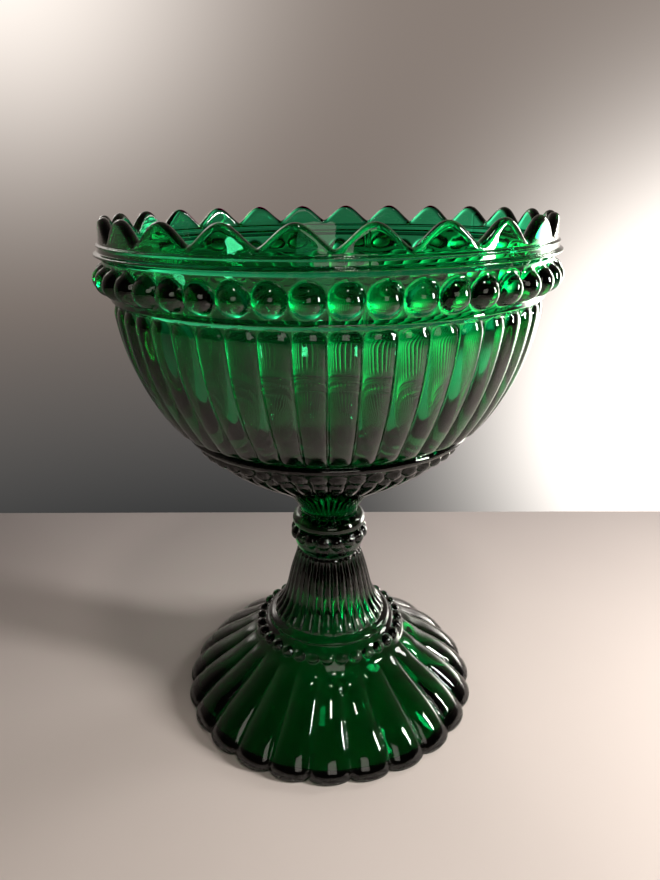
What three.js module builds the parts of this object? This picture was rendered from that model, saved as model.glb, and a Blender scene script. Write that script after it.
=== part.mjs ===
// A pressed-glass footed bowl: a ribbed and beaded bowl with a scalloped rim, a plain joining disc,
// and a hollow pedestal with a beaded knop, a reeded stem and a lobed foot.
// Millimetres, +Z up. The origin is the centre of the foot's underside, on the surface it stands on.
import * as THREE from 'three';
import { mergeVertices } from 'three/addons/utils/BufferGeometryUtils.js';

// Driving dimensions
const overallHeight = 155;
const jointGap = 0.3; // clearance between two pieces that meet face to face
const discTop = 64.6; // the plain disc under the bowl
const discBottom = 60.2;
const discRadius = 11.6;
const discFaceRadius = 9.2; // its flat faces, inside the rounded edge

// Counts that repeat round the axis
const scallopCount = 24;
const bowlRibCount = 48;
const reedCount = 32;
const knopBeadCount = 16;
const footLobeCount = 24;

// The bowl was joined with its pattern turned this far from the pedestal's, in radians
const bowlTurn = 0.064;

// Bowl
const ribCrestRadius = 59.0; // half-axes of the ellipse through the rib crests
const ribCrestDepth = 62.2;
const ribCentreHeight = 137.8;
const ribArc = { from: -40, to: -8.5, count: 5 }; // degrees of that ellipse with straight-sided ribs
const ribRelief = 1.35;
const archCentreHeight = 130.3;
const bandBead = { radius: 3.72, height: 140.0, relief: 3.6 };
const scallopDepth = 5.0;
const notchSharpness = 0.4; // 0 gives notches as round as the tips, 1 gives pointed ones
const scallopRoot = 0.04; // share of the notch depth that is left at the foot of the teeth
const liningRadius = 54.6; // half-axes of the ellipse inside the bowl
const liningDepth = 47.5;
const liningCentreHeight = 133.3;
const liningCount = 7;
const dropBead = { radius: 2.2, height: 91.8, relief: 1.45, sink: 0.8 }; // sink: fall for each mm outwards
const undersideRelief = 0.95;
const neckFade = { from: 8, to: 20 }; // radii between which the underside ribs grow to full height

// Pedestal
const knopBead = { radius: 2.15, height: 57.8, relief: 1.35 };
const reedRelief = 0.7;
const footBead = { radius: 2.15, height: 24.1, relief: 1.45, lift: 0.6 }; // lift: rise for each mm outwards
const lobeRelief = 1.8;
const lobeEdgeRelief = 2.1;

const segmentsRound = { bowl: 144, disc: 48, pedestal: 96 };
const discEdgeCount = 7;
const glassColour = { bowl: 0x0a5c34, disc: 0x08502d, pedestal: 0x0b6238 };
const glassRoughness = 0.08;
const weldTolerance = 1e-5;

// Each tooth of the rim stands this far round from the middle of a rib, in radians
const scallopTurn = 2 * ((2 * Math.PI) / segmentsRound.bowl);

// The first knop bead stands this far round from the middle of a lobe, in radians
const knopTurn = 4 * ((2 * Math.PI) / segmentsRound.pedestal);

// Angle from the middle of the nearest repeat, -0.5 to 0.5 of one pitch
function repeatPhase(angle, count) {
  const turns = (angle * count) / (2 * Math.PI);
  return turns - Math.round(turns);
}

// 1 on the crest of a convex rib, 0 in the crease beside it
function ribCrown(phase) {
  return Math.sqrt(Math.max(0, 1 - 4 * phase * phase));
}

// Round-tipped tooth: 0 at the tip and 1 in the notch, with the notch a little sharper
function toothDrop(phase) {
  const u = Math.abs(2 * phase);
  const sharp = 1 - Math.cos((Math.PI * u) / 2);
  const round = (1 - Math.cos(Math.PI * u)) / 2;
  return notchSharpness * sharp + (1 - notchSharpness) * round;
}

// Height of a half-round bead, from 0 to 1
function beadCrown(bead, count, r, z, angle) {
  const across = repeatPhase(angle, count) * ((2 * Math.PI * r) / count);
  const up = z - bead.height;
  return Math.sqrt(Math.max(0, 1 - (across * across + up * up) / (bead.radius * bead.radius)));
}

// An outline is a list of [radius, height] points. A station is one such point with its form, which
// turns the plain round point into the patterned one at each angle.
function plain(r, z) {
  return [r, z];
}

function station(r, z, form = plain) {
  return { r, z, form };
}

function ellipseStations(halfWidth, halfHeight, centreHeight, fromDegrees, toDegrees, count, form) {
  return Array.from({ length: count }, (_, i) => {
    const a = THREE.MathUtils.degToRad(fromDegrees + ((toDegrees - fromDegrees) * i) / (count - 1));
    return station(halfWidth * Math.cos(a), centreHeight + halfHeight * Math.sin(a), form);
  });
}

// One closed body from a profile that starts and ends on the axis. The forms take the angle before turn.
function turnedBody(name, stations, segments, turn, colour) {
  const profile = stations.map(({ r, z }) => new THREE.Vector2(r, z));
  const lathe = new THREE.LatheGeometry(profile, segments);
  const position = lathe.getAttribute('position');
  for (let i = 0; i < position.count; i += 1) {
    const { r, z, form } = stations[i % stations.length];
    const slice = Math.floor(i / stations.length) % segments;
    const angle = (slice * 2 * Math.PI) / segments;
    const [formedR, formedZ] = form(r, z, angle);
    const facing = angle + turn;
    position.setXYZ(i, formedR * Math.sin(facing), -formedR * Math.cos(facing), formedZ);
  }
  lathe.deleteAttribute('uv');
  lathe.deleteAttribute('normal');
  const merged = mergeVertices(lathe, weldTolerance);
  const geometry = facingOut(merged);
  geometry.computeVertexNormals();
  const material = new THREE.MeshStandardMaterial({ color: colour, roughness: glassRoughness, metalness: 0 });
  const mesh = new THREE.Mesh(geometry, material);
  mesh.name = name;
  return mesh;
}

// Drops the flattened triangles at the axis and turns every face outwards
function facingOut(geometry) {
  const index = geometry.getIndex().array;
  const position = geometry.getAttribute('position');
  const corner = [new THREE.Vector3(), new THREE.Vector3(), new THREE.Vector3()];
  const kept = [];
  let volume = 0;
  for (let i = 0; i < index.length; i += 3) {
    const [a, b, c] = [index[i], index[i + 1], index[i + 2]];
    if (a === b || b === c || a === c) continue;
    kept.push(a, b, c);
    [a, b, c].forEach((vertex, k) => corner[k].fromBufferAttribute(position, vertex));
    volume += corner[0].dot(corner[1].cross(corner[2]));
  }
  if (volume < 0) {
    for (let i = 0; i < kept.length; i += 3) {
      [kept[i + 1], kept[i + 2]] = [kept[i + 2], kept[i + 1]];
    }
  }
  geometry.setIndex(kept);
  return geometry;
}

// Bowl surfaces

function bowlRib(r, z, angle) {
  const phase = repeatPhase(angle, bowlRibCount);
  return [r - ribRelief * (r / ribCrestRadius) * (1 - ribCrown(phase)), z];
}

// The round head of each rib, standing on the plain wall
function ribHead(r, z, angle) {
  const halfPitch = (Math.PI * r) / bowlRibCount;
  const phase = repeatPhase(angle, bowlRibCount);
  const up = (z - archCentreHeight) / halfPitch;
  const crown = Math.sqrt(Math.max(0, 1 - 4 * phase * phase - up * up));
  return [r - ribRelief * (1 - crown), z];
}

function beadedBand(r, z, angle) {
  return [r + bandBead.relief * beadCrown(bandBead, bowlRibCount, r, z, angle), z];
}

// Small drops on the slope under the bowl
function underDrop(r, z, angle) {
  const bulge = dropBead.relief * beadCrown(dropBead, bowlRibCount, r, z, angle);
  const outward = bulge / Math.hypot(1, dropBead.sink);
  return [r + outward, z - dropBead.sink * outward];
}

function undersideRib(r, z, angle) {
  const phase = repeatPhase(angle, bowlRibCount);
  const fade = THREE.MathUtils.smoothstep(r, neckFade.from, neckFade.to);
  const sink = undersideRelief * fade * (1 - ribCrown(phase));
  return [r - sink, z + sink];
}

// share is how much of the notch reaches this point: 1 at the lip, 0 at the wall below
function scallop(share) {
  return (r, z, angle) => {
    const phase = repeatPhase(angle - scallopTurn, scallopCount);
    return [r, z - scallopDepth * share * toothDrop(phase)];
  };
}

function makeBowl() {
  const neckBottom = discTop + jointGap;
  const underside = [
    [8.9, 66.6], [10.6, 69.8], [14.2, 74.2], [22.0, 79.6], [29.6, 84.6], [33.6, 87.9],
  ].map(([r, z]) => station(r, z, undersideRib));
  const ribs = ellipseStations(
    ribCrestRadius, ribCrestDepth, ribCentreHeight, ribArc.from, ribArc.to, ribArc.count, bowlRib,
  );
  const lining = ellipseStations(liningRadius, liningDepth, liningCentreHeight, 0, -90, liningCount);
  lining[lining.length - 1].r = 0;
  return turnedBody('bowl', [
    station(0, neckBottom),
    station(8.6, neckBottom),
    ...underside,
    station(35.4, 89.9),
    station(36.4, 90.8, underDrop),
    station(37.4, 91.8, underDrop),
    station(38.4, 92.7, underDrop),
    station(40.4, 94.0),
    station(42.2, 94.6),
    station(42.1, 95.9),
    station(41.4, 96.5),
    ...ribs,
    station(58.6, 130.6, ribHead),
    station(58.8, 132.2, ribHead),
    station(57.7, 133.9),
    station(59.3, 134.7),
    station(59.1, 136.0),
    station(59.3, 137.7, beadedBand),
    station(59.5, 140.0, beadedBand),
    station(60.0, 142.3, beadedBand),
    station(60.7, 145.1),
    station(62.5, 145.8),
    station(61.1, 146.9),
    station(61.5, 148.2),
    station(60.7, 148.8, scallop(scallopRoot)),
    station(60.6, 153.7, scallop(1)),
    station(59.2, overallHeight, scallop(1)),
    station(57.8, 153.8, scallop(1)),
    station(57.6, 148.8, scallop(scallopRoot)),
    station(56.6, 140.5),
    ...lining,
  ], segmentsRound.bowl, bowlTurn, glassColour.bowl);
}

function makeJoiningDisc() {
  const middle = (discTop + discBottom) / 2;
  const rounded = ellipseStations(
    discRadius - discFaceRadius, (discTop - discBottom) / 2, middle, -90, 90, discEdgeCount,
  ).map(({ r, z }) => station(discFaceRadius + r, z));
  return turnedBody('joining_disc', [
    station(0, discBottom), ...rounded, station(0, discTop),
  ], segmentsRound.disc, 0, glassColour.disc);
}

// Pedestal surfaces

function beadedKnop(r, z, angle) {
  return [r + knopBead.relief * beadCrown(knopBead, knopBeadCount, r, z, angle - knopTurn), z];
}

function stemReed(r, z, angle) {
  const crown = ribCrown(repeatPhase(angle, reedCount));
  return [r - reedRelief * (1 - crown), z];
}

function beadedCollar(r, z, angle) {
  const crown = beadCrown(footBead, reedCount, r, z, angle);
  return [r + footBead.relief * crown, z + footBead.lift * footBead.relief * crown];
}

function footLobe(r, z, angle) {
  const crown = ribCrown(repeatPhase(angle, footLobeCount));
  return [r, z - lobeRelief * (1 - crown)];
}

function footEdge(r, z, angle) {
  const crown = ribCrown(repeatPhase(angle, footLobeCount));
  return [r - lobeEdgeRelief * (1 - crown), z];
}

function footShoulder(r, z, angle) {
  const [edgeR] = footEdge(r, z, angle);
  const [, lobeZ] = footLobe(r, z, angle);
  return [(r + edgeR) / 2, (z + lobeZ) / 2];
}

function makePedestal() {
  const knopTop = discBottom - jointGap;
  const stem = [
    [10.1, 50.4], [11.8, 45.2], [13.3, 39.4], [14.7, 34.7], [16.2, 32.0], [18.5, 29.0],
  ].map(([r, z]) => station(r, z, stemReed));
  const lobes = [
    [26.5, 20.6], [32.0, 16.7], [37.6, 12.9], [42.5, 9.3],
  ].map(([r, z]) => station(r, z, footLobe));
  return turnedBody('pedestal', [
    station(0, knopTop),
    station(9.9, knopTop),
    station(10.8, 59.1, beadedKnop),
    station(11.0, 57.8, beadedKnop),
    station(11.1, 56.5, beadedKnop),
    station(11.0, 54.6),
    station(10.2, 52.8),
    station(9.5, 51.8),
    ...stem,
    station(20.1, 27.6),
    station(20.1, 26.6),
    station(21.6, 25.4, beadedCollar),
    station(22.8, 24.1, beadedCollar),
    station(23.8, 22.8, beadedCollar),
    station(24.9, 21.2),
    ...lobes,
    station(46.1, 6.0, footShoulder),
    station(48.2, 2.8, footEdge),
    station(48.5, 1.1, footEdge),
    station(47.8, 0, footEdge),
    station(41.8, 0),
    station(40.2, 1.4),
    station(35.5, 5.6),
    station(27.0, 11.2),
    station(20.0, 16.6),
    station(15.4, 23.0),
    station(11.0, 30.5),
    station(6.0, 36.2),
    station(0, 37.8),
  ], segmentsRound.pedestal, 0, glassColour.pedestal);
}

const footedBowl = new THREE.Group();
footedBowl.add(makeBowl(), makeJoiningDisc(), makePedestal());

export default footedBowl;
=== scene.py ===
import math

import bpy
import numpy as np
from mathutils import Matrix, Vector


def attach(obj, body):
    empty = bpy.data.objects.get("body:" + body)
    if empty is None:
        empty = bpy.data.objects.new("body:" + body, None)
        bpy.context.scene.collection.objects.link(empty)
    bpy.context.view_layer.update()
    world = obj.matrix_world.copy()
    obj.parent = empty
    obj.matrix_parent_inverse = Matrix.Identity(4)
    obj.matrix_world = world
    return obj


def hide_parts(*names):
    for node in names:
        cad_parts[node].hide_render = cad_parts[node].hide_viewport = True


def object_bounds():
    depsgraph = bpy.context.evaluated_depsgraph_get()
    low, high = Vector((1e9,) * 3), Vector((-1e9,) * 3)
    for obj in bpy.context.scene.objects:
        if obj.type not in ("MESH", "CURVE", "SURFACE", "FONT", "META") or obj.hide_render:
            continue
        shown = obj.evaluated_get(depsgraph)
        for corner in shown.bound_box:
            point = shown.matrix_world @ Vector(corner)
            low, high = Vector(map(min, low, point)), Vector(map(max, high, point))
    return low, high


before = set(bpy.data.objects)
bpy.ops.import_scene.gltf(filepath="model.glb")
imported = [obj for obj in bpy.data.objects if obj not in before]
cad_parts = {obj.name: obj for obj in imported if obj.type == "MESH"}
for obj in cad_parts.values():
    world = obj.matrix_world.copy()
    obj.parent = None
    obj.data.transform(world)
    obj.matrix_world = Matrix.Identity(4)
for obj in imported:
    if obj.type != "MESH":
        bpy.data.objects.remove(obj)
cadLow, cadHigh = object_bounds()
print("frame loaded:", ", ".join(sorted(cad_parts)))

# one millimetre of the design, in the frame's metres
designHeight = 155.0
mm = (cadHigh.z - cadLow.z) / designHeight
tableHeight = cadLow.z

cameraSet = {
    "distance": 194.2,      # level, from the bowl's axis
    "height": 161.3,        # above the table
    "pitch": 20.62,         # degrees down
    "roll": -0.17,
    "side": 0.4,            # to the right
    "lens": 27.54,
}


def makeCamera():
    data = bpy.data.cameras.new("studioCamera")
    data.lens = cameraSet["lens"]
    data.clip_start = 0.005
    camera = bpy.data.objects.new("studioCamera", data)
    bpy.context.scene.collection.objects.link(camera)
    place = Matrix.Translation((
        cameraSet["side"] * mm, -cameraSet["distance"] * mm, tableHeight + cameraSet["height"] * mm,
    ))
    tilt = Matrix.Rotation(math.radians(90 - cameraSet["pitch"]), 4, "X")
    roll = Matrix.Rotation(math.radians(cameraSet["roll"]), 4, "Z")
    camera.matrix_world = place @ tilt @ roll
    bpy.context.scene.camera = camera
    print("camera set")


makeCamera()


# Shader maths: a Wire is a node's output that can stand in a sum

class Wire:
    def __init__(self, graph, socket):
        self.graph = graph
        self.socket = socket

    def sum(self, operation, first, second):
        return self.graph.node("ShaderNodeMath", {"operation": operation}, {0: first, 1: second})

    def __add__(self, other):
        return self.sum("ADD", self, other)

    def __radd__(self, other):
        return self.sum("ADD", other, self)

    def __sub__(self, other):
        return self.sum("SUBTRACT", self, other)

    def __rsub__(self, other):
        return self.sum("SUBTRACT", other, self)

    def __mul__(self, other):
        return self.sum("MULTIPLY", self, other)

    def __rmul__(self, other):
        return self.sum("MULTIPLY", other, self)

    def __pow__(self, other):
        return self.sum("POWER", self, other)


class Graph:
    def __init__(self, tree):
        self.tree = tree
        self.tree.nodes.clear()

    def node(self, kind, settings, inputs, output=0):
        made = self.tree.nodes.new(kind)
        for name, value in settings.items():
            if name == "stops":
                self.setStops(made.color_ramp, value)
            else:
                setattr(made, name, value)
        for name, value in inputs.items():
            if isinstance(value, Wire):
                self.tree.links.new(value.socket, made.inputs[name])
            else:
                made.inputs[name].default_value = value
        return Wire(self, made.outputs[output]) if len(made.outputs) else made

    def setStops(self, ramp, stops):
        while len(ramp.elements) < len(stops):
            ramp.elements.new(0.5)
        for element, (place, colour) in zip(ramp.elements, stops):
            element.position = place
            element.color = colour

    def ramp(self, value, stops):
        return self.node("ShaderNodeValToRGB", {"stops": stops}, {"Fac": value})

    def noise(self, vector, scale, detail=2.0, roughness=0.5):
        inputs = {"Vector": vector, "Scale": scale, "Detail": detail, "Roughness": roughness}
        return self.node("ShaderNodeTexNoise", {}, inputs)

    def stretch(self, vector, scale):
        return self.node("ShaderNodeVectorMath", {"operation": "MULTIPLY"}, {0: vector, 1: scale})


def grey(level, alpha=1.0):
    return (level, level, level, alpha)


glassLook = {
    "tint": (0.44, 0.97, 0.58, 1.0),        # left by one face
    "deepTint": (0.34, 0.95, 0.52, 1.0),
    "bowlPaintedLightDepth": (0.08, 0.79, 0.68, 1.0),   # absorption in the thin bowl walls, lighter than the foot's though it is the same glass: painted light
    "footDepth": (0.08, 0.755, 0.66, 1.0),  # absorption in the thick foot and disc
    "absorbDensity": 680.0,                 # per metre
    "ior": 1.5,
    "shine": 0.22,                          # 0.5 is a clean new face
    "smudge": 0.045,                        # roughness where fingers have been
    "markScale": 55.0,
    "polish": 0.004,
    "batchScale": 24.0,                     # slow drift between the two tints
    "waveHeight": 0.00013,
    "waveScale": 95.0,
    "waveStretch": (1.0, 1.0, 0.55),
    "lineScale": 620.0,
    "lineStretch": (1.0, 1.0, 0.10),
    "wornScale": 30.0,                      # where the drawn lines come and go
    "peelScale": 420.0,
    "peelHeight": 0.05,                     # against the waves
}


def makeGlass(name, look, depth, toolLines):
    material = bpy.data.materials.new(name)
    material.use_nodes = True
    graph = Graph(material.node_tree)
    place = graph.node("ShaderNodeTexCoord", {}, {}, "Object")

    # slow waves left by the plunger, fine drawn lines from the mould, and the skin's slight peel
    waves = graph.noise(graph.stretch(place, look["waveStretch"]), look["waveScale"], 1.0)
    lines = graph.noise(graph.stretch(place, look["lineStretch"]), look["lineScale"], 1.0)
    worn = graph.ramp(graph.noise(place, look["wornScale"], 1.0), [(0.48, grey(0.0)), (0.66, grey(1.0))])
    peel = graph.noise(place, look["peelScale"], 1.0)
    height = waves + lines * worn * toolLines + peel * look["peelHeight"]
    bump = graph.node("ShaderNodeBump", {}, {
        "Strength": 1.0, "Distance": look["waveHeight"], "Height": height,
    })

    # finger marks and dust dull the polish in places
    smears = graph.noise(place, look["markScale"], 5.0, 0.65)
    marks = graph.ramp(smears, [(0.5, grey(0.0)), (0.74, grey(1.0))])
    roughness = marks * look["smudge"] + look["polish"]
    batch = graph.noise(place, look["batchScale"], 1.0)
    tint = graph.node("ShaderNodeMix", {"data_type": "RGBA"}, {
        "Factor": batch, 6: look["tint"], 7: look["deepTint"],
    }, 2)

    surface = graph.node("ShaderNodeBsdfPrincipled", {}, {
        "Base Color": tint, "Roughness": roughness, "IOR": look["ior"],
        "Transmission Weight": 1.0, "Specular IOR Level": look["shine"], "Normal": bump,
    })
    inside = graph.node("ShaderNodeVolumeAbsorption", {}, {
        "Color": look[depth], "Density": look["absorbDensity"],
    })
    graph.node("ShaderNodeOutputMaterial", {}, {"Surface": surface, "Volume": inside})
    return material


# Profiles: pairs of radius and height in millimetres, from the axis out and back to the axis

def curveThrough(points, perSpan=16):
    p = np.array(points, float)
    p = np.vstack([2 * p[0] - p[1], p, 2 * p[-1] - p[-2]])
    t = np.linspace(0, 1, perSpan, endpoint=False)[:, None]
    spans = []
    for a, b, c, d in zip(p[:-3], p[1:-2], p[2:-1], p[3:]):
        spans.append(0.5 * (2 * b + (c - a) * t + (2 * a - 5 * b + 4 * c - d) * t**2
                            + (3 * b - a - 3 * c + d) * t**3))
    return np.vstack(spans + [p[-2:-1]])


def arcPoints(halfWidth, halfHeight, centre, fromDegrees, toDegrees, count=60):
    a = np.radians(np.linspace(fromDegrees, toDegrees, count))
    return np.stack([centre[0] + halfWidth * np.cos(a), centre[1] + halfHeight * np.sin(a)], 1)


def spaced(line, step):
    run = np.concatenate([[0], np.cumsum(np.hypot(*np.diff(line, axis=0).T))])
    even = np.linspace(0, run[-1], max(2, int(round(run[-1] / step)) + 1))
    return np.stack([np.interp(even, run, line[:, 0]), np.interp(even, run, line[:, 1])], 1)


def softened(line, blur):
    # rounds every corner over about the blur distance and keeps the ends on the axis
    fine = 0.05
    dense = spaced(line, fine)
    reach = int(3 * blur / fine)
    weights = np.exp(-0.5 * (np.arange(-reach, reach + 1) * fine / blur) ** 2)
    weights /= weights.sum()
    out = dense.copy()
    for k, sign in ((0, -1), (1, 1)):
        start = sign * dense[reach:0:-1, k]
        end = sign * dense[-2:-reach - 2:-1, k]
        out[:, k] = np.convolve(np.concatenate([start, dense[:, k], end]), weights, "valid")
    out[0, 0] = 0
    out[-1, 0] = 0
    return out


def rowStep(shape, r, z):
    # millimetres between rows: the first band of heights that holds this place, outside its radius
    for low, high, radius, step in shape["fineRows"]:
        if low < z < high and r > radius:
            return step
    return shape["plainRow"]


def pickRows(line, shape):
    run = np.concatenate([[0], np.cumsum(np.hypot(*np.diff(line, axis=0).T))])
    want = np.array([rowStep(shape, r, z) for r, z in line])
    count = np.concatenate([[0], np.cumsum(np.diff(run) / (0.5 * (want[1:] + want[:-1])))])
    rows = np.interp(np.linspace(0, count[-1], int(math.ceil(count[-1])) + 1), count, run)
    r = np.interp(rows, run, line[:, 0])
    z = np.interp(rows, run, line[:, 1])
    slopeR = np.interp(rows, run, np.gradient(line[:, 0], run))
    slopeZ = np.interp(rows, run, np.gradient(line[:, 1], run))
    length = np.hypot(slopeR, slopeZ)
    return r, z, slopeZ / length, -slopeR / length, rows / run[-1]


def repeatPhase(angle, count):
    turns = angle * count / (2 * np.pi)
    return turns - np.round(turns)


def crown(q, flatness):
    # rounded crest: 1 in the middle, 0 at q = 1, steeper at the edge the nearer flatness is to 1
    edge = math.sqrt(1 - flatness)
    return np.clip((np.sqrt(np.clip(1 - flatness * q * q, 0, None)) - edge) / (1 - edge), 0, None)


def smooth(low, high, value):
    t = np.clip((value - low) / (high - low), 0, 1)
    return t * t * (3 - 2 * t)


def columnAngles(count, repeats, crowding):
    # crowding brings the columns closer beside the creases between repeats
    u = np.arange(count) * repeats / count
    phase = u - np.round(u)
    crowded = np.round(u) + (1 - crowding) * phase + crowding * 0.5 * np.sin(np.pi * phase)
    return crowded * 2 * np.pi / repeats


def turnedPiece(name, line, shape, angles, form, turn=0.0):
    r, z, outR, outZ, along = pickRows(line, shape)
    inner = slice(1, -1)
    column = [part[inner, None] for part in (r, z, outR, outZ, along)]
    formedR, formedZ = form(*column, angles[None, :])
    facing = angles[None, :] + turn
    level = np.broadcast_to(formedZ, formedR.shape)
    points = np.stack([formedR * np.sin(facing), -formedR * np.cos(facing), level], -1)
    rows, columns = points.shape[:2]
    poles = np.array([[0, 0, z[0]], [0, 0, z[-1]]])
    vertices = np.vstack([points.reshape(-1, 3), poles]) * mm
    vertices[:, 2] += tableHeight

    ring = np.arange(columns)
    after = np.roll(ring, -1)
    rowStart = np.arange(rows - 1)[:, None] * columns
    start = (rowStart + ring).ravel()
    beside = (rowStart + after).ravel()
    quads = np.stack([start, beside, beside + columns, start + columns], 1)
    low = np.stack([np.full(columns, rows * columns), after, ring], 1)
    top = (rows - 1) * columns
    high = np.stack([np.full(columns, rows * columns + 1), ring + top, after + top], 1)
    mesh = bpy.data.meshes.new(name)
    mesh.from_pydata(vertices.tolist(), [], quads.tolist() + low.tolist() + high.tolist())
    mesh.shade_smooth()
    piece = bpy.data.objects.new(name, mesh)
    bpy.context.scene.collection.objects.link(piece)
    print(name, "has", len(mesh.polygons), "faces")
    return piece


# The bowl

bowlShape = {
    "turn": 0.064,              # radians from the pedestal's pattern
    "ribs": 48,
    "teeth": 24,
    "toothTurn": 0.0925,        # from a rib to a tooth
    "toothDepth": 5.0,
    "toothSharpness": 0.55,     # of the notches
    "lipStart": 149.2,
    "lipEnd": 153.7,
    "lipRadius": 59.15,
    "lipHalf": 1.45,
    "ribRelief": 1.35,
    "ribFlatness": 0.93,
    "crestWidth": 59.0,         # half-axes of the ellipse through the rib crests
    "crestDepth": 62.2,
    "crestCentre": 137.8,
    "ribStart": 96.6,           # the ribs rise from here to full relief here
    "ribFull": 100.0,
    "ribTop": 134.0,
    "archCentre": 130.3,
    "beadHeight": 140.0,
    "beadRadius": 3.72,
    "beadRelief": 3.6,
    "beadFlatness": 0.97,
    "dropRadius": 38.1,         # row of small drops under the cord
    "dropHalf": (2.35, 2.1),    # half their width round the bowl and along the slope
    "dropRelief": 1.45,
    "dropSlope": 0.85,          # rise of the underside there for each millimetre outwards
    "dropTop": 94.0,
    "dropInside": 33.0,
    "dropFlatness": 0.95,
    "leafRelief": 1.1,
    "leafTop": 91.0,
    "leafFade": (8.5, 16.0, 0.25),  # radii over which the leaves grow, and their share at the neck
    "leafHead": 33.2,           # radius at which the leaves' round heads are centred
    "liningWidth": 54.9,
    "liningDepth": 47.5,
    "liningCentre": 133.3,
    "columns": 768,
    "fineRows": [               # from height, to height, outside radius, step
        (144.5, 149.3, 56.9, 0.2),
        (133.3, 136.0, 56.9, 0.2),
        (88.5, 98.5, 33.0, 0.3),
        (133.0, 160.0, -1.0, 0.42),
    ],
    "plainRow": 0.8,
    "crowding": 0.5,
    "cornerBlur": 0.085,
    "seam": 0.065,              # angle of a fine ridge where the mould's parts met
    "seamHeight": 0.07,
    "seamWidth": 0.16,
    "seamFoot": 97.0,
    "seamCount": 3,
    "lean": 0.0075,             # the rim was set down a little out of level
    "leanFrom": (72, 100),
    # no two teeth came out of the mould quite alike: waves in their depth round the rim
    "toothWaves": [(0.035, 5, 1.3), (0.025, 11, 0.4)],
}


def bowlLine(shape):
    relief = shape["ribRelief"]
    wall = arcPoints(
        shape["crestWidth"] - relief, shape["crestDepth"] - relief, (0, shape["crestCentre"]), -40.0, -4.6,
    )
    lining = arcPoints(shape["liningWidth"], shape["liningDepth"], (0, shape["liningCentre"]), -3, -90)
    neck = curveThrough([
        (8.7, 64.75), (8.8, 66.2), (9.6, 68.0), (11.0, 70.3), (12.9, 72.9), (15.8, 75.5), (19.4, 78.0),
        (23.5, 80.4), (27.7, 82.9), (31.0, 85.2), (33.7, 87.4), (35.0, 88.8),
    ])
    drops = curveThrough([(35.0, 88.8), (36.0, 89.5), (38.1, 91.4), (39.7, 93.1), (40.6, 93.9)])
    cord = curveThrough([(40.4, 93.9), (41.7, 94.2), (42.3, 95.1), (42.0, 96.0), (41.3, 96.3)])
    ribFoot = curveThrough([(41.3, 96.3), (42.4, 96.8), wall[0]])
    lowEdge = [(57.6, 133.6), (58.6, 134.25), (59.2, 134.65), (59.1, 135.2), (59.05, 136.2)]
    band = [(59.5, 140.0), (60.6, 144.9)]
    highRidge = [
        (60.7, 144.9), (61.5, 145.5), (62.35, 145.95), (62.2, 146.35), (61.15, 146.75), (60.95, 147.9),
    ]
    thinRidge = [(61.45, 148.1), (61.5, 148.4), (60.75, 148.7)]
    lip = arcPoints(shape["lipHalf"], 1.35, (shape["lipRadius"], 153.65), 0, 180)
    inside = curveThrough([(57.7, 153.6), (57.6, 148.5), (56.8, 141.0), (55.5, 135.0), lining[0]])
    return np.vstack([
        [(0, 64.62), (8.6, 64.62)], neck, drops[1:], cord[1:], ribFoot[1:], wall[1:],
        lowEdge, band, highRidge, thinRidge, lip, inside[1:], lining[1:],
    ])


def bowlForm(shape):
    pitch = 2 * np.pi / shape["ribs"]

    def form(r, z, outR, outZ, outer, angle):
        phase = repeatPhase(angle, shape["ribs"])
        across = 2 * np.abs(phase)
        sideways = phase * pitch * r

        # ribs with round heads under the band, run out at the cord below
        up = np.clip(z - shape["archCentre"], 0, None) / (0.5 * pitch * r)
        ribs = shape["ribRelief"] * crown(np.minimum(1, np.hypot(across, up)), shape["ribFlatness"])
        ribs = ribs * smooth(shape["ribStart"], shape["ribFull"], z) * (z < shape["ribTop"])

        # round beads round the band
        q = np.hypot(sideways, z - shape["beadHeight"]) / shape["beadRadius"]
        beads = shape["beadRelief"] * crown(np.minimum(1, q), shape["beadFlatness"])

        # small drops under the cord, and a leaf from each one down into the neck
        wide, tall = shape["dropHalf"]
        outwards = r - shape["dropRadius"]
        slope = np.hypot(outwards, shape["dropSlope"] * outwards)
        q = np.hypot(sideways / wide, slope / tall)
        drops = shape["dropRelief"] * crown(np.minimum(1, q), shape["dropFlatness"])
        drops = drops * (z < shape["dropTop"]) * (r > shape["dropInside"])
        head = np.clip(r - shape["leafHead"], 0, None) / (0.5 * pitch * r)
        leaves = shape["leafRelief"] * crown(np.minimum(1, np.hypot(across, head)), shape["ribFlatness"])
        fadeFrom, fadeTo, least = shape["leafFade"]
        leaves = leaves * (z < shape["leafTop"]) * (least + (1 - least) * smooth(fadeFrom, fadeTo, r))

        seamPhase = repeatPhase(angle - shape["seam"], shape["seamCount"])
        fromSeam = seamPhase * 2 * np.pi * r / shape["seamCount"]
        seam = shape["seamHeight"] * np.exp(-(fromSeam / shape["seamWidth"]) ** 2)
        seam = seam * (z > shape["seamFoot"])
        relief = outer * (ribs + beads + drops + leaves + seam)

        share = np.clip((z - shape["lipStart"]) / (shape["lipEnd"] - shape["lipStart"]), 0, 1)
        tooth = 2 * np.abs(repeatPhase(angle - shape["toothTurn"], shape["teeth"]))
        sharp = shape["toothSharpness"]
        drop = sharp * (1 - np.cos(np.pi * tooth / 2)) + (1 - sharp) * (1 - np.cos(np.pi * tooth)) / 2
        uneven = 1 + sum(size * np.sin(count * angle + shift) for size, count, shift in shape["toothWaves"])
        notch = shape["toothDepth"] * share * drop * uneven
        formedR = r + outR * relief
        lean = shape["lean"] * formedR * np.sin(angle + shape["turn"]) * smooth(*shape["leanFrom"], z)
        return formedR, z + outZ * relief - notch + lean

    return form


def outerHalf(line):
    # places along the line before the lip belong to the outside
    run = np.concatenate([[0], np.cumsum(np.hypot(*np.diff(line, axis=0).T))])
    return run[np.argmax(line[:, 1])] / run[-1]


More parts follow.
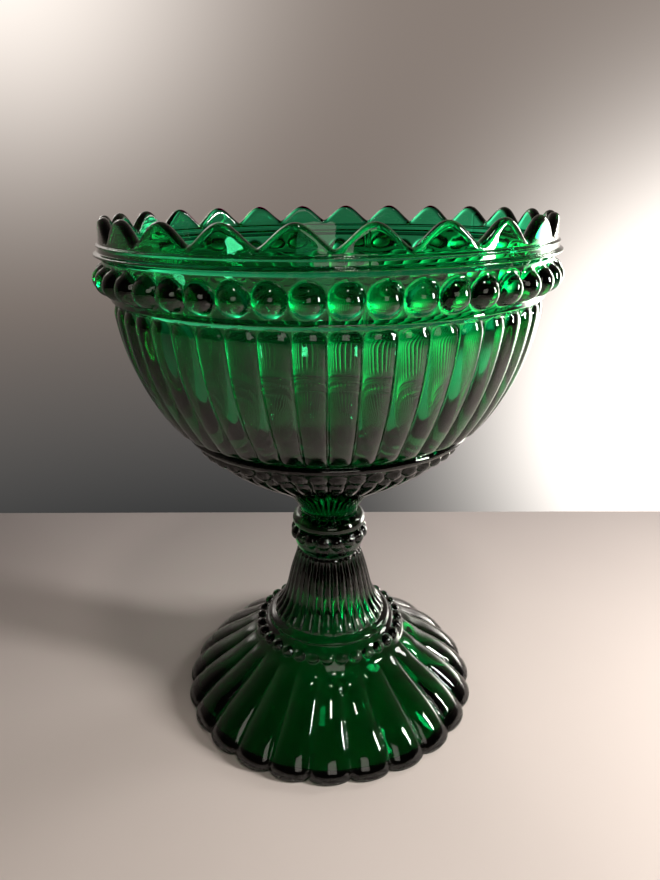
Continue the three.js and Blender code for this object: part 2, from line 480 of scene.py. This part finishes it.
def makeBowl(shape, material):
    line = softened(bowlLine(shape), shape["cornerBlur"])
    lipPlace = outerHalf(line)
    shapeForm = bowlForm(shape)

    def form(r, z, outR, outZ, along, angle):
        return shapeForm(r, z, outR, outZ, along < lipPlace, angle)

    angles = columnAngles(shape["columns"], shape["ribs"], shape["crowding"])
    piece = turnedPiece("bowlGlass", line, shape, angles, form, shape["turn"])
    piece.data.materials.append(material)
    return piece


# The joining disc

discShape = {
    "bottom": 60.0,
    "top": 64.6,
    "faceRadius": 9.3,
    "radius": 11.65,
    "bulgeDrop": 0.35,          # the widest part lies this far below the middle
    "cornerBlur": 0.1,
    "wobble": 0.08,             # hand-sheared glass is never quite round
    "wobbleFrom": 4,
    "columns": 96,
    "fineRows": [(59.0, 66.0, 7, 0.3)],
    "plainRow": 0.9,
}


def makeDisc(shape, material):
    half = (shape["top"] - shape["bottom"]) / 2
    bulge = shape["radius"] - shape["faceRadius"]
    drop = shape["bulgeDrop"]
    centre = (shape["faceRadius"], (shape["top"] + shape["bottom"]) / 2 - drop)
    upper = arcPoints(bulge, half + drop, centre, 0, 90)
    lower = arcPoints(bulge, half - drop, centre, -90, 0)
    outline = np.vstack([[(0, shape["bottom"])], lower, upper[1:], [(0, shape["top"])]])

    def form(r, z, outR, outZ, along, angle):
        wobble = shape["wobble"] * (np.sin(2 * angle + 0.8) + 0.5 * np.sin(3 * angle))
        return r + wobble * smooth(shape["wobbleFrom"], shape["radius"], r), z

    angles = np.arange(shape["columns"]) * 2 * np.pi / shape["columns"]
    line = softened(outline, shape["cornerBlur"])
    piece = turnedPiece("joiningDiscGlass", line, shape, angles, form)
    piece.data.materials.append(material)
    return piece


# The pedestal

pedestalShape = {
    "top": 59.88,
    "knopBeads": 16,
    "knopTurn": 0.2356,
    "knopHeight": 57.8,
    "knopRadius": 11.0,
    "knopHalf": (2.15, 2.2),    # half a bead's width and height
    "knopRelief": 1.35,
    "knopFoot": 52,             # no beads below this height
    "beadFlatness": 0.95,
    "reeds": 32,
    "reedTurn": -0.03,
    "reedRelief": 0.95,
    "reedFlatness": 0.975,
    "reedTop": (51.9, 50.8),    # heights between which the reeds come up from nothing
    "reedFoot": (28.6, 29.8),
    "collarHeight": 24.1,
    "collarMiddle": 22.8,       # radius at that height
    "collarHalf": (2.15, 1.75),
    "collarRelief": 1.75,
    "collarTop": 28,            # the collar's beads stay below and inside these
    "collarEdge": 27,
    "lobes": 24,
    "lobeRelief": 2.1,
    "lobeFlatness": 0.95,
    "lobeStart": (24.6, 28.5),  # radii between which the lobes begin
    "lobeGrowth": (26, 44, 0.4),    # radii over which they grow, and their share at the first
    "lobeTop": 22,
    "edgeLevel": (3.0, 0.6),    # heights between which the lobes turn to push straight out
    "standRing": (43.6, 45.4),  # radii where the standing ring takes up the lobes
    "standHeight": 0.6,
    "fineRows": [
        (50.0, 60.0, -1.0, 0.28),
        (20.5, 29.5, 16.5, 0.28),
        (-1.0, 6.0, 40.0, 0.4),
    ],
    "plainRow": 0.95,
    "crowding": 0.3,
    "cornerBlur": 0.13,
    "columns": 768,
}


def pedestalLine(shape):
    knop = curveThrough([
        (10.0, 59.8), (10.7, 59.2), (11.0, 57.8), (11.1, 56.0), (10.9, 54.3), (10.2, 52.7), (9.5, 51.8),
    ])
    stem = curveThrough([
        (9.5, 51.8), (9.6, 50.0), (11.0, 45.6), (12.1, 41.5), (12.9, 38.0), (14.0, 34.6), (15.9, 31.2),
        (17.9, 28.8),
    ])
    roll = curveThrough([(17.9, 28.8), (19.2, 28.35), (20.1, 27.6), (20.0, 26.8), (20.2, 26.5)])
    collar = curveThrough([(20.2, 26.5), (21.3, 25.8), (22.8, 24.1), (24.0, 22.4), (24.9, 21.0)])
    foot = curveThrough([
        (24.9, 21.0), (26.2, 19.9), (31.2, 15.8), (36.5, 11.8), (41.2, 7.9), (44.4, 4.6), (46.2, 2.2),
        (46.5, 0.9),
    ])
    under = curveThrough([
        (41.8, 0), (40.2, 1.4), (35.5, 5.6), (27.0, 11.2), (20.0, 16.6), (15.4, 23.0), (11.0, 30.5),
        (6.0, 36.2), (0, 37.8),
    ])
    topFace = [(0, shape["top"]), (9.8, shape["top"])]
    footHeel = [(45.9, 0.0)]
    outline = np.vstack([topFace, knop, stem[1:], roll[1:], collar[1:], foot[1:], footHeel, under])
    return outline[::-1]


def pedestalForm(shape, edgePlace):
    def form(r, z, outR, outZ, along, angle):
        outer = along > edgePlace
        wide, tall = shape["knopHalf"]
        across = repeatPhase(angle - shape["knopTurn"], shape["knopBeads"])
        across = across * 2 * np.pi * shape["knopRadius"] / shape["knopBeads"]
        q = np.hypot(across / wide, (z - shape["knopHeight"]) / tall)
        knop = shape["knopRelief"] * crown(np.minimum(1, q), shape["beadFlatness"])
        knop = knop * (z > shape["knopFoot"])

        reedAngle = repeatPhase(angle - shape["reedTurn"], shape["reeds"])
        onStem = smooth(*shape["reedTop"], z) * smooth(*shape["reedFoot"], z)
        reeds = shape["reedRelief"] * crown(2 * np.abs(reedAngle), shape["reedFlatness"]) * onStem

        wide, tall = shape["collarHalf"]
        across = reedAngle * 2 * np.pi * shape["collarMiddle"] / shape["reeds"]
        lift = np.hypot(z - shape["collarHeight"], r - shape["collarMiddle"])
        q = np.hypot(across / wide, lift / tall)
        collar = shape["collarRelief"] * crown(np.minimum(1, q), shape["beadFlatness"])
        collar = collar * (z < shape["collarTop"]) * (r < shape["collarEdge"])

        lobeCross = crown(2 * np.abs(repeatPhase(angle, shape["lobes"])), shape["lobeFlatness"])
        growFrom, growTo, least = shape["lobeGrowth"]
        lobeScale = shape["lobeRelief"] * (least + (1 - least) * smooth(growFrom, growTo, r))
        lobeScale = lobeScale * smooth(*shape["lobeStart"], r)
        lobes = lobeScale * lobeCross * (z < shape["lobeTop"])
        relief = outer * (knop + reeds + collar + lobes)

        # at the edge the lobes push straight out, so the foot still stands flat
        level = smooth(*shape["edgeLevel"], z)
        pushR = outR + (1 - outR) * level
        pushZ = outZ * (1 - level)
        ringed = smooth(*shape["standRing"], r) * (z < shape["standHeight"]) * (1 - outer)
        return r + pushR * relief + ringed * lobeScale * lobeCross, np.maximum(z + pushZ * relief, 0)

    return form


def makePedestal(shape, material):
    line = softened(pedestalLine(shape), shape["cornerBlur"])
    run = np.concatenate([[0], np.cumsum(np.hypot(*np.diff(line, axis=0).T))])
    edgePlace = run[np.argmax(line[:, 0])] / run[-1]

    angles = columnAngles(shape["columns"], shape["reeds"], shape["crowding"])
    piece = turnedPiece("pedestalGlass", line, shape, angles, pedestalForm(shape, edgePlace))
    piece.data.materials.append(material)
    return piece


def faceOutwards(piece):
    mesh = piece.data
    mesh.calc_loop_triangles()
    volume = 0.0
    for triangle in mesh.loop_triangles:
        a, b, c = (mesh.vertices[i].co for i in triangle.vertices)
        volume += a.dot(b.cross(c))
    if volume < 0:
        mesh.flip_normals()
    print(piece.name, "volume", round(abs(volume) / 6 * 1e6, 2), "cm3")


# the bowl's glass absorbs less than the foot's and disc's, though it is the same glass: painted light that
# brightens the bowl
bowlGreen = makeGlass("bowlGreenGlass", glassLook, "bowlPaintedLightDepth", 0.12)
discGreen = makeGlass("discGreenGlass", glassLook, "footDepth", 0.0)
pedestalGreen = makeGlass("pedestalGreenGlass", glassLook, "footDepth", 0.06)

bowl = makeBowl(bowlShape, bowlGreen)
disc = makeDisc(discShape, discGreen)
pedestal = makePedestal(pedestalShape, pedestalGreen)
for piece, node, slot in ((bowl, "bowl", "bowl_glass"), (disc, "joining_disc", "disc_glass"),
                          (pedestal, "pedestal", "pedestal_glass")):
    faceOutwards(piece)
    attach(piece, "root")
    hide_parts(node)


# The studio

studio = {
    "floorBack": 0.126,         # where the table ends behind the bowl
    "floorReach": 0.9,
    "floorSteps": 24,
    "cloudScale": 9.0,
    "grainScale": 60.0,
    "grainHeight": 0.0004,
    "floorColour": (0.76, 0.69, 0.655, 1.0),
    "floorFleck": (0.70, 0.63, 0.60, 1.0),
    "shadeFrom": -0.05,         # the table darkens from here
    "shadeTo": 0.20,            # to here, going back
    "shadeLean": 0.42,          # and the more the further left
    "shadeColour": (0.56, 0.56, 0.59, 1.0),
    "lampAim": (0, 0, 0.09),
    "lamps": {
        # name: place, width and height, power, colour
        "sideLamp": ((0.31, -0.10, 0.19), (0.04, 0.12), 1.35, (1.0, 0.95, 0.89)),
        "backLamp": ((0.23, 0.12, 0.21), (0.06, 0.06), 0.2, (1.0, 0.96, 0.92)),
        "roofLamp": ((0.05, -0.20, 0.60), (0.06, 0.06), 0.42, (1.0, 0.89, 0.80)),
        "frontPanel": ((0.10, -0.70, 0.33), (0.34, 0.30), 0.6, (1.0, 0.93, 0.84)),
    },
    "wallTint": (1.17, 0.965, 0.84, 1.0),
    "wallLowTint": (0.98, 1.0, 1.0, 1.0),   # near the table
    "wallLowHeight": (-0.45, -0.15),
    "wallBrightness": (0.1785, 0.1772, -0.2835),  # level, and its change with height and height squared
    "glowTint": (1.05, 0.985, 0.92, 1.0),
    # bright places on the wall: bearing and height in radians, tightness, strength
    "glows": [
        (0.5947, -0.2711, 26.5, 2.74),
        (-0.4188, 0.3032, 32.2, 0.927),
        (0.9, -0.1, 60.0, 24.0),
        (-0.62, 0.45, 120.0, 4.0),
    ],
    "roomDark": 0.10,           # share of the wall's brightness left behind the camera
}


def makeFloor(look):
    mesh = bpy.data.meshes.new("studioFloor")
    reach = look["floorReach"]
    steps = look["floorSteps"]
    side = steps + 1
    xs = np.linspace(-reach, reach, side)
    ys = np.linspace(-reach, look["floorBack"], side)
    vertices = [(x, y, tableHeight) for y in ys for x in xs]
    corners = [j * side + i for j in range(steps) for i in range(steps)]
    faces = [(k, k + 1, k + side + 1, k + side) for k in corners]
    mesh.from_pydata(vertices, [], faces)
    floor = bpy.data.objects.new("studioFloor", mesh)
    bpy.context.scene.collection.objects.link(floor)
    material = bpy.data.materials.new("paleCard")
    material.use_nodes = True
    graph = Graph(material.node_tree)
    place = graph.node("ShaderNodeTexCoord", {}, {}, "Object")
    cloud = graph.noise(place, look["cloudScale"], 4.0)
    colour = graph.node("ShaderNodeMix", {"data_type": "RGBA"}, {
        "Factor": cloud, 6: look["floorColour"], 7: look["floorFleck"],
    }, 2)
    right = graph.node("ShaderNodeSeparateXYZ", {}, {0: place}, 0)
    back = graph.node("ShaderNodeSeparateXYZ", {}, {0: place}, 1)
    shadeSpan = look["shadeTo"] - look["shadeFrom"]
    toCorner = (back - right * look["shadeLean"] - look["shadeFrom"]) * (1 / shadeSpan)
    shade = graph.ramp(toCorner, [(0.0, grey(1.0)), (1.0, look["shadeColour"])])
    colour = graph.stretch(colour, shade)
    grain = graph.noise(place, look["grainScale"], 4.0)
    bump = graph.node("ShaderNodeBump", {}, {
        "Strength": 0.2, "Distance": look["grainHeight"], "Height": grain,
    })
    surface = graph.node("ShaderNodeBsdfPrincipled", {}, {
        "Base Color": colour, "Roughness": 0.75, "Normal": bump,
    })
    graph.node("ShaderNodeOutputMaterial", {}, {"Surface": surface})
    mesh.materials.append(material)


def makeLamp(name, place, aim, size, power, colour):
    data = bpy.data.lights.new(name, "AREA")
    data.shape = "RECTANGLE"
    data.size, data.size_y = size
    data.energy = power
    data.color = colour
    lamp = bpy.data.objects.new(name, data)
    lamp.location = place
    lamp.rotation_euler = (Vector(aim) - Vector(place)).to_track_quat("-Z", "Y").to_euler()
    lamp.visible_camera = False
    bpy.context.scene.collection.objects.link(lamp)
    return lamp


def makeRoom(look):
    # a grey studio wall all round, lit low on the right and high on the left
    world = bpy.data.worlds.new("studioRoom")
    bpy.context.scene.world = world
    world.use_nodes = True
    graph = Graph(world.node_tree)
    direction = graph.node("ShaderNodeTexCoord", {}, {}, "Generated")
    height = graph.node("ShaderNodeSeparateXYZ", {}, {0: direction}, 2)
    back = graph.node("ShaderNodeSeparateXYZ", {}, {0: direction}, 1)

    def glow(bearing, rise, tightness, strength):
        aim = (math.sin(bearing) * math.cos(rise), math.cos(bearing) * math.cos(rise), math.sin(rise))
        facing = graph.node("ShaderNodeVectorMath", {"operation": "DOT_PRODUCT"}, {0: direction, 1: aim}, 1)
        ahead = graph.node("ShaderNodeMath", {"operation": "MAXIMUM"}, {0: facing, 1: 0.0})
        return ahead ** tightness * strength

    level, rise, bend = look["wallBrightness"]
    behind = graph.ramp(back * 0.5 + 0.5, [(0.35, grey(look["roomDark"])), (0.8, grey(1.0))])
    wall = (level + height * rise + height * height * bend) * behind
    low, high = look["wallLowHeight"]
    risen = (height - low) * (1 / (high - low))
    tint = graph.node("ShaderNodeMix", {"data_type": "RGBA"}, {
        "Factor": risen, 6: look["wallLowTint"], 7: look["wallTint"],
    }, 2)
    plain = graph.node("ShaderNodeBackground", {}, {"Color": tint, "Strength": wall})
    bright = glow(*look["glows"][0])
    for spot in look["glows"][1:]:
        bright = bright + glow(*spot)
    lit = graph.node("ShaderNodeBackground", {}, {"Color": look["glowTint"], "Strength": bright})
    both = graph.node("ShaderNodeAddShader", {}, {0: plain, 1: lit})
    graph.node("ShaderNodeOutputWorld", {}, {"Surface": both})


makeFloor(studio)
makeRoom(studio)
for lampName, (place, size, power, colour) in studio["lamps"].items():
    makeLamp(lampName, place, studio["lampAim"], size, power, colour)

scene = bpy.context.scene
scene.view_settings.view_transform = "Standard"
scene.cycles.max_bounces = 24
scene.cycles.transmission_bounces = 24
scene.cycles.glossy_bounces = 12
print("studio lit")
